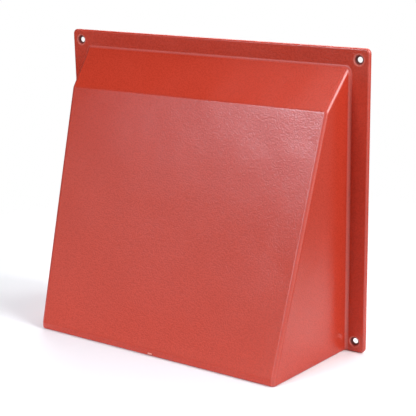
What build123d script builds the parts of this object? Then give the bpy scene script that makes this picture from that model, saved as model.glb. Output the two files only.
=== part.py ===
import os

from build123d import *

# External vent cowl: a hood and its wall flange, moulded as one piece.
# Millimetres. X runs across the wall, Y into the wall and Z up. The origin is the middle of
# the screw pattern on the wall face, and the hood stands out from the wall towards -Y.

# Wall flange
flange_width = 270.0
flange_height = 228.5
flange_thickness = 2.6
flange_corner_radius = 4.0
side_border = 15.7  # flange that shows on each side of the hood
top_border = 13.3  # flange that shows above the hood

# Hood, measured out from the flange's front face
hood_depth = 86.8
ridge_depth = 26.2
ridge_drop = 28.7  # fall of the short roof from the flange to the ridge
lip_height = 5.2  # upright drip lip along the foot of the front panel
side_draft = 7.1  # degrees that each side leans in towards the front

# Moulded wall and its edges
wall_thickness = 2.4
inner_edge_radius = 0.6  # inside the edges between the sides and the roof, front and lip
inner_ridge_radius = 2.4
inner_lip_radius = 4.0
root_radius = 2.8  # hollow fillet where the hood leaves the flange
rim_radius = 1.5  # outer edge of the flange and of the open foot

# Countersunk screw holes at the flange's corners
screw_inset = 8.4  # hole centre to the two nearest edges of the flange
screw_hole_radius = 2.1
countersink_radius = 4.1
countersink_angle = 90.0

# Cut-off injection gate in the middle of the drip lip
gate_width = 3.6
gate_height = 1.1
gate_proud = 0.5
gate_lift = 2.1  # middle of the gate above the foot

# Places that follow from the sizes
foot_z = -flange_height / 2
root_y = -flange_thickness
roof_z = flange_height / 2 - top_border
ridge_y = root_y - ridge_depth
ridge_z = roof_z - ridge_drop
lip_y = root_y - hood_depth
lip_z = foot_z + lip_height
hood_width = flange_width - 2 * side_border
overrun = 2 * wall_thickness  # the wedge is drawn this far past the wall and the foot, then trimmed
back_z = roof_z + (overrun - root_y) * ridge_drop / ridge_depth
below_z = foot_z - overrun

# Hood as a full wedge: short roof, long sloping front, upright lip and drafted sides
with BuildPart() as hood:
    with BuildSketch(Plane.YZ) as side_profile:
        with BuildLine():
            Polyline(
                (overrun, below_z),
                (overrun, back_z),
                (ridge_y, ridge_z),
                (lip_y, lip_z),
                (lip_y, below_z),
                close=True,
            )
        make_face()
        ridge_corner = side_profile.vertices().sort_by_distance((ridge_y, ridge_z))[0]
        fillet(ridge_corner, inner_ridge_radius + wall_thickness)
        lip_corner = side_profile.vertices().sort_by_distance((lip_y, lip_z))[0]
        fillet(lip_corner, inner_lip_radius + wall_thickness)
    extrude(amount=hood_width / 2, both=True)
    draft(hood.faces().filter_by(Axis.X), Plane.XZ.offset(flange_thickness), side_draft)
    left_side = hood.faces().sort_by(Axis.X)[0]
    right_side = hood.faces().sort_by(Axis.X)[-1]
    side_edges = left_side.edges() + right_side.edges()
    wall_edges = side_edges.group_by(Axis.Y)[-1]
    foot_edges = side_edges.group_by(Axis.Z)[0]
    fillet(side_edges - wall_edges - foot_edges, inner_edge_radius + wall_thickness)

# Space inside the hood: the same wedge, one wall smaller all round
with BuildPart() as hollow:
    add(hood.part)
    offset(amount=-wall_thickness)

with BuildPart() as cowl:
    # Flange plate with the wedge through it, trimmed flush with the wall and the foot
    with BuildSketch(Plane.XZ):
        RectangleRounded(flange_width, flange_height, flange_corner_radius)
    extrude(amount=flange_thickness)
    add(hood.part)
    split(bisect_by=Plane.XZ, keep=Keep.TOP)
    split(bisect_by=Plane.XY.offset(foot_z), keep=Keep.TOP)

    # Hollow fillet from the roof's root on round both corners and down both sides
    roof_root = cowl.edges().sort_by_distance((0, root_y, roof_z))[0]
    fillet(roof_root, root_radius)

    # Rounded edge from the flange's top on round the flange and along the foot of the hood
    flange_top = cowl.edges().sort_by_distance((0, root_y, flange_height / 2))[0]
    fillet(flange_top, rim_radius)

    # Inside, open at the wall and at the foot
    add(hollow.part, mode=Mode.SUBTRACT)

    # Screw holes, sunk from the front
    with Locations(Plane.XZ.offset(flange_thickness)):
        with GridLocations(flange_width - 2 * screw_inset, flange_height - 2 * screw_inset, 2, 2):
            CounterSinkHole(screw_hole_radius, countersink_radius, flange_thickness, countersink_angle)

    # Gate, rooted in the middle of the lip's wall
    with BuildSketch(Plane.XZ.offset(-lip_y - wall_thickness / 2)):
        with Locations((0, foot_z + gate_lift)):
            Rectangle(gate_width, gate_height)
    extrude(amount=wall_thickness / 2 + gate_proud)
cowl.part.label = "cowl"

os.makedirs("parts", exist_ok=True)
export_step(cowl.part, "parts/cowl.step")
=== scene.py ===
import math

import bpy
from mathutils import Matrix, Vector


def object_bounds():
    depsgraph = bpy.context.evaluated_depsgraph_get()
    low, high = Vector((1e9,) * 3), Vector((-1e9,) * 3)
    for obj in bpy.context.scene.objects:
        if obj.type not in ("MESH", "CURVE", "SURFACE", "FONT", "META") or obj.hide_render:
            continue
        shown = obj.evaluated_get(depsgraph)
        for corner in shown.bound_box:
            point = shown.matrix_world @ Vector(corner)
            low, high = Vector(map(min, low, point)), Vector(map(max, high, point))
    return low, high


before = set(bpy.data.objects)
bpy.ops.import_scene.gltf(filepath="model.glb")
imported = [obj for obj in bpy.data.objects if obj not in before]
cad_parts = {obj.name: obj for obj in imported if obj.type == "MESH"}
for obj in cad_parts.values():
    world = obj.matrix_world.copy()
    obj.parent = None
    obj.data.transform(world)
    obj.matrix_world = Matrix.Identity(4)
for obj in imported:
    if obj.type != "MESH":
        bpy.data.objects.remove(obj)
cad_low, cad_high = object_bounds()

# Cowl: the hood and its wall flange, one injection moulding of terracotta polypropylene.
# The outside is moulded against an etched cavity and keeps its fine grain. The inside and the
# wall face come off a plain core. It stands here on its open foot, as it comes from the carton.
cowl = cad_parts["cowl"]


def linear(hex_colour):
    """sRGB hex colour as linear RGBA."""
    srgb = [int(hex_colour[i:i + 2], 16) / 255 for i in (1, 3, 5)]
    rgb = [c / 12.92 if c <= 0.04045 else ((c + 0.055) / 1.055) ** 2.4 for c in srgb]
    return (*rgb, 1.0)


def empty_tree(owner):
    """Node tree of a material or a world, with nothing in it."""
    owner.use_nodes = True
    owner.node_tree.nodes.clear()
    return owner.node_tree


def add_node(tree, kind, inputs=None, **settings):
    """Adds a node with its settings. An input takes a value, or the output socket to link to it."""
    node = tree.nodes.new(kind)
    for name, value in settings.items():
        setattr(node, name, value)
    for name, value in (inputs or {}).items():
        if isinstance(value, bpy.types.NodeSocket):
            tree.links.new(value, node.inputs[name])
        else:
            node.inputs[name].default_value = value
    return node


def noise(tree, place, size_mm, **inputs):
    """Noise with patches of about this size, where the place is in metres."""
    inputs = {"Vector": place, "Scale": 1000.0 / size_mm, **inputs}
    return add_node(tree, "ShaderNodeTexNoise", inputs).outputs["Fac"]


def ramp(tree, value, start, end, low=0.0, high=1.0, **settings):
    """Goes from low to high while the value goes from start to end, and is level on either side."""
    inputs = {"Value": value, "From Min": start, "From Max": end, "To Min": low, "To Max": high}
    return add_node(tree, "ShaderNodeMapRange", inputs, **settings).outputs["Result"]


def maths(tree, operation, *values, **settings):
    """One operation on up to three values."""
    inputs = dict(enumerate(values))
    return add_node(tree, "ShaderNodeMath", inputs, operation=operation, **settings).outputs["Value"]


def vector_maths(tree, operation, *vectors):
    """One operation on vectors. LENGTH and DOT_PRODUCT give a value, the others a vector."""
    node = add_node(tree, "ShaderNodeVectorMath", dict(enumerate(vectors)), operation=operation)
    return node.outputs["Value" if operation in ("LENGTH", "DOT_PRODUCT") else "Vector"]


def mix(tree, data_type, share, first, second):
    """The first with this share of the second in it. The type is FLOAT, or RGBA for colours."""
    inputs = {"Factor": share, "A": first, "B": second}
    return add_node(tree, "ShaderNodeMix", inputs, data_type=data_type).outputs["Result"]


# Moulded polypropylene: a satin red with slightly uneven pigment, an etched grain that breaks up
# the light, panels that are not quite flat, and a smoother inside with faint marks of the core
moulded = bpy.data.materials.new("terracotta_polypropylene")
tree = empty_tree(moulded)
coordinates = add_node(tree, "ShaderNodeTexCoord")
place = coordinates.outputs["Object"]
along = add_node(tree, "ShaderNodeSeparateXYZ", {"Vector": place}).outputs
facing = add_node(tree, "ShaderNodeSeparateXYZ", {"Vector": coordinates.outputs["Normal"]}).outputs

# Core side: the inside and the wall face, whose outward normals point to the wall at +Y
core_side = ramp(tree, facing["Y"], start=0.02, end=0.08)

# Tight edges: where a side rounds into the roof, the front or the rim, neither facing front nor sideways
sideways = maths(tree, "ABSOLUTE", facing["X"])
off_front = ramp(tree, sideways, start=0.05, end=0.20)
off_side = ramp(tree, sideways, start=0.80, end=0.96, low=1.0, high=0.0)
tight_edge = maths(tree, "MULTIPLY", off_front, off_side)

# Etched grain: the real one is well under a millimetre and too fine to show at this size, so it is
# drawn at 1 mm. The etch is thin on the tight edges, and the light runs along them almost unbroken.
grain_mm = 1.0
grain_depth_mm = 0.105
edge_grain_depth_mm = 0.03
grain = noise(tree, place, grain_mm, Detail=0.6, Roughness=0.5)
etch_depth = ramp(tree, tight_edge, start=0.0, end=1.0, low=grain_depth_mm, high=edge_grain_depth_mm)
etched = maths(tree, "MULTIPLY", grain, etch_depth)

# Core marks: fine lines on the inside along the draw, left by the polishing of the core
core_mark_mm = 0.8
core_mark_depth_mm = 0.02
core_mark_stretch = (1.0, 0.04, 0.04)
drawn = add_node(tree, "ShaderNodeMapping", {"Vector": place, "Scale": core_mark_stretch})
core_marks = noise(tree, drawn.outputs["Vector"], core_mark_mm, Detail=2.0)
polished = maths(tree, "MULTIPLY", core_marks, core_mark_depth_mm)

# Warp: the cooling panels draw in a little, in waves as wide as a few fingers
warp_mm = 55.0
warp_depth_mm = 1.1
warp_shift = (-0.531, 0.451, -0.831)
millimetre = 0.001
shifted = add_node(tree, "ShaderNodeMapping", {"Vector": place, "Location": warp_shift})
warp = noise(tree, shifted.outputs["Vector"], warp_mm, Detail=1.5, Roughness=0.45)
skin = mix(tree, "FLOAT", core_side, etched, polished)
height_mm = maths(tree, "MULTIPLY_ADD", warp, warp_depth_mm, skin)
bump = add_node(tree, "ShaderNodeBump", {"Height": height_mm, "Strength": 1.0, "Distance": millimetre})
relief = bump.outputs["Normal"]

# Pigment: two reds that drift into each other. A deeper red in the valleys of the grain is painted shade.
body_colour = linear("#C03A26")
pale_colour = linear("#C53D28")
valley_shade_colour = linear("#B0321E")
valley_shade_share = 0.6
mottle_mm = 26.0
mottle = noise(tree, place, mottle_mm, Detail=1.0)
mottled = mix(tree, "RGBA", mottle, body_colour, pale_colour)
valley_shade = ramp(tree, grain, start=0.38, end=0.56, low=valley_shade_share, high=0.0)
grain_shaded = mix(tree, "RGBA", valley_shade, mottled, valley_shade_colour)

# Injection gate: its cut face, half a millimetre proud of the lip, is torn and paler
cut_colour = linear("#E59A88")
pale_y = -0.0897
plain_y = -0.0895
cut_face = ramp(tree, along["Y"], start=pale_y, end=plain_y, low=1.0, high=0.0)
gated = mix(tree, "RGBA", cut_face, grain_shaded, cut_colour)

# Screw holes: the moulding pins leave the bore and the bottom of each countersink dull, and painted shade
# darkens them.
# A painted highlight makes a paler ring round each countersink's rim. The wall face shows neither.
# The four holes mirror each other, so their places are folded into the upper right quarter.
bore_shade_colour = linear("#4A140C")
bore_shade_share = 0.9
rim_highlight_colour = linear("#D67C6B")
rim_highlight_share = 0.5
hole_axis = (0.1266, 0.0, 0.10585)
dark_radius = 0.0030
clear_radius = 0.0037
rim_radius = 0.0042
rim_line = 0.0001
rim_fade = 0.0008
folded = vector_maths(tree, "ABSOLUTE", place)
from_axis = vector_maths(tree, "SUBTRACT", folded, hole_axis)
across = vector_maths(tree, "MULTIPLY", from_axis, (1.0, 0.0, 1.0))
radius = vector_maths(tree, "LENGTH", across)
dull_and_shaded_bore = ramp(tree, radius, start=dark_radius, end=clear_radius, low=bore_shade_share, high=0.0)
bore_shaded = mix(tree, "RGBA", dull_and_shaded_bore, gated, bore_shade_colour)
# Painted highlight: a paler ring round the rim of each countersink
off_rim = maths(tree, "SUBTRACT", radius, rim_radius)
rim_gap = maths(tree, "ABSOLUTE", off_rim)
painted_rim_highlight = ramp(tree, rim_gap, start=rim_line, end=rim_fade, low=rim_highlight_share, high=0.0)
rim_highlighted = mix(tree, "RGBA", painted_rim_highlight, bore_shaded, rim_highlight_colour)
colour = mix(tree, "RGBA", core_side, rim_highlighted, gated)

# Gloss: satin in broad patches and duller in the hollow fillet at the hood's root. A second, softer
# gloss widens the bright line along the tight edges. The bores and the gate's cut face are dull.
gloss_patch_mm = 38.0
smooth_patch = 0.18
rough_patch = 0.25
hood_end_y, fillet_start_y = -0.0036, -0.0032
fillet_end_y, flange_start_y = -0.0028, -0.0026
root_roughness = 0.5
edge_roughness = 0.42
bore_roughness = 0.7
core_roughness = 0.24
cut_roughness = 0.6
polypropylene_ior = 1.49
patch = noise(tree, place, gloss_patch_mm, Detail=2.0)
etched_gloss = ramp(tree, patch, start=0.3, end=0.7, low=smooth_patch, high=rough_patch)
off_hood = ramp(tree, along["Y"], start=hood_end_y, end=fillet_start_y)
off_flange = ramp(tree, along["Y"], start=fillet_end_y, end=flange_start_y, low=1.0, high=0.0)
root_fillet = maths(tree, "MULTIPLY", off_hood, off_flange)
root_gloss = mix(tree, "FLOAT", root_fillet, etched_gloss, root_roughness)
edge_gloss = mix(tree, "FLOAT", tight_edge, root_gloss, edge_roughness)
bore_gloss = mix(tree, "FLOAT", dull_and_shaded_bore, edge_gloss, bore_roughness)
skin_gloss = mix(tree, "FLOAT", core_side, bore_gloss, core_roughness)
gloss = mix(tree, "FLOAT", cut_face, skin_gloss, cut_roughness)
edge_coat = maths(tree, "SUBTRACT", tight_edge, dull_and_shaded_bore, use_clamp=True)
shader = add_node(tree, "ShaderNodeBsdfPrincipled", {
    "Base Color": colour,
    "Roughness": gloss,
    "IOR": polypropylene_ior,
    "Coat Weight": edge_coat,
    "Coat Roughness": edge_roughness,
    "Coat Normal": relief,
    "Normal": relief})
add_node(tree, "ShaderNodeOutputMaterial", {"Surface": shader.outputs["BSDF"]})
cowl.material_slots[0].material = moulded

# Floor: a sheet of matt white board on the table that the cowl stands on.
# It keeps the soft shadow under the hood, and fades into the white room before its edge shows.
floor_size = 1.0
floor_gap = 0.0001
solid_reach = 0.17
faded_reach = 0.42
board_colour = linear("#F8F8F8")
bpy.ops.object.select_all(action="DESELECT")
bpy.ops.mesh.primitive_plane_add(size=floor_size, location=(0, 0, cad_low.z - floor_gap))
floor = bpy.context.object
floor.name = "floor"
white_board = bpy.data.materials.new("white_board")
tree = empty_tree(white_board)
spot = add_node(tree, "ShaderNodeTexCoord").outputs["Object"]
reach = vector_maths(tree, "LENGTH", spot)
fade = ramp(tree, reach, start=solid_reach, end=faded_reach, interpolation_type="SMOOTHSTEP")
matt = add_node(tree, "ShaderNodeBsdfDiffuse", {"Color": board_colour})
gone = add_node(tree, "ShaderNodeBsdfTransparent")
board = add_node(tree, "ShaderNodeMixShader", {0: fade, 1: matt.outputs["BSDF"], 2: gone.outputs["BSDF"]})
add_node(tree, "ShaderNodeOutputMaterial", {"Surface": board.outputs["Shader"]})
floor.data.materials.append(white_board)

# Studio light: soft boxes and white panels on stands round the cowl, each a lamp behind cloth.
# The key on the right rakes the side and its tight edges. Three boxes in front on the left lay the
# long sheen on the front, and low, high and back panels fill what they leave dark.
lit_point = Vector((0.0, -0.04, 0.0))


def direction(azimuth, elevation):
    """Unit vector away from the cowl. Azimuth 0 is straight in front and 90 is on the right."""
    turn = math.radians(azimuth)
    rise = math.radians(elevation)
    return Vector((math.sin(turn) * math.cos(rise), -math.cos(turn) * math.cos(rise), math.sin(rise)))


def soft_box(name, azimuth, elevation, distance, width, height, power, colour="#FFFFFF"):
    """Area lamp aimed at the cowl, unseen by the camera. Metres, degrees and watts."""
    away = direction(azimuth, elevation)
    lamp = bpy.data.lights.new(name, "AREA")
    lamp.shape = "RECTANGLE"
    lamp.size = width
    lamp.size_y = height
    lamp.energy = power
    lamp.color = linear(colour)[:3]
    holder = bpy.data.objects.new(name, lamp)
    holder.location = lit_point + away * distance
    holder.rotation_euler = away.to_track_quat("Z", "Y").to_euler()
    holder.visible_camera = False
    bpy.context.scene.collection.objects.link(holder)


soft_box("key_soft_box", 92.0, 39.0, 0.78, 0.33, 0.33, 5.5, "#F8FAFF")
soft_box("front_soft_box", -11.0, 22.0, 1.5, 0.262, 0.38, 5.4, "#E8F0FF")
soft_box("front_soft_edge", -25.0, 33.0, 1.5, 0.262, 0.40, 7.2, "#E8F0FF")
soft_box("front_soft_wing", -36.0, 23.5, 1.5, 0.262, 0.40, 1.05, "#E8F0FF")
soft_box("high_front_panel", -15.0, 43.0, 1.2, 0.45, 0.45, 0.8)
soft_box("overhead_soft_box", -35.0, 66.0, 1.2, 0.45, 0.45, 1.15)
soft_box("low_front_panel", -12.0, 5.0, 1.5, 0.45, 0.25, 1.5)
soft_box("low_left_panel", -39.0, 8.0, 1.5, 0.80, 0.45, 1.15)
soft_box("low_right_panel", 72.0, 5.0, 1.2, 0.50, 0.21, 1.0)
soft_box("back_panel", 212.0, 40.0, 1.2, 0.64, 0.64, 8.0)
soft_box("high_back_panel", 145.0, 58.0, 1.0, 0.40, 0.40, 2.8)

# Room: white walls that the camera sees behind the cowl, and that give it next to no light.
# The gloss mirrors them too, apart from what is dark in the studio: the ceiling, the left wall,
# the corner in front on the left and, half dark, the corner behind on the right.
dark_corner = (-0.616, -0.788, 0.0)
dim_corner = (0.714, 0.643, -0.276)
dim_level = 0.35
wall_colour = linear("#FFFFFF")
wall_light = 0.03
white_level = 1.0
room = bpy.data.worlds.new("room")
bpy.context.scene.world = room
tree = empty_tree(room)
way = add_node(tree, "ShaderNodeTexCoord").outputs["Generated"]
way_parts = add_node(tree, "ShaderNodeSeparateXYZ", {"Vector": way}).outputs
near_dark = vector_maths(tree, "DOT_PRODUCT", way, dark_corner)
near_dim = vector_maths(tree, "DOT_PRODUCT", way, dim_corner)
below_ceiling = ramp(
    tree, way_parts["Z"], start=0.30, end=0.55, low=1.0, high=0.0, interpolation_type="SMOOTHSTEP")
off_left_wall = ramp(tree, way_parts["X"], start=-0.85, end=-0.60, interpolation_type="SMOOTHSTEP")
off_dark_corner = ramp(
    tree, near_dark, start=0.45, end=0.85, low=1.0, high=0.0, interpolation_type="SMOOTHSTEP")
off_dim_corner = ramp(
    tree, near_dim, start=0.82, end=0.97, low=1.0, high=dim_level, interpolation_type="SMOOTHSTEP")
corners = maths(tree, "MULTIPLY", off_dark_corner, off_dim_corner)
under_ceiling = maths(tree, "MULTIPLY", corners, below_ceiling)
white_walls = maths(tree, "MULTIPLY", under_ceiling, off_left_wall)
rays = add_node(tree, "ShaderNodeLightPath").outputs
mirrored = maths(tree, "MAXIMUM", rays["Is Glossy Ray"], rays["Is Transmission Ray"])
mirror_share = maths(tree, "MULTIPLY", mirrored, white_walls)
white_share = maths(tree, "MAXIMUM", rays["Is Camera Ray"], mirror_share)
lighting = add_node(tree, "ShaderNodeBackground", {"Color": wall_colour, "Strength": wall_light})
white = add_node(tree, "ShaderNodeBackground", {"Color": wall_colour, "Strength": white_level})
walls = add_node(tree, "ShaderNodeMixShader", {
    0: white_share, 1: lighting.outputs["Background"], 2: white.outputs["Background"]})
add_node(tree, "ShaderNodeOutputWorld", {"Surface": walls.outputs["Shader"]})

# Camera: a short telephoto in front on the right, a little above the cowl and looking down on it.
# Its place, roll and focal length are fitted to the edges of the moulding in the photograph.
camera_azimuth = 34.437
camera_elevation = 15.751
camera_roll = -1.147
camera_distance = 0.906
camera_lens_mm = 98.98
camera_sensor_mm = 36.0
aim = Vector((-0.004060, -0.002470, -0.020310))
lens = bpy.data.cameras.new("camera")
lens.lens = camera_lens_mm
lens.sensor_width = camera_sensor_mm
camera = bpy.data.objects.new("camera", lens)
camera.location = aim + direction(camera_azimuth, camera_elevation) * camera_distance
camera.rotation_euler = (math.radians(90.0 - camera_elevation), 0.0, math.radians(camera_azimuth))
camera.rotation_euler.rotate_axis("Z", math.radians(camera_roll))
bpy.context.scene.collection.objects.link(camera)
bpy.context.scene.camera = camera
bpy.context.scene.view_settings.view_transform = "Standard"
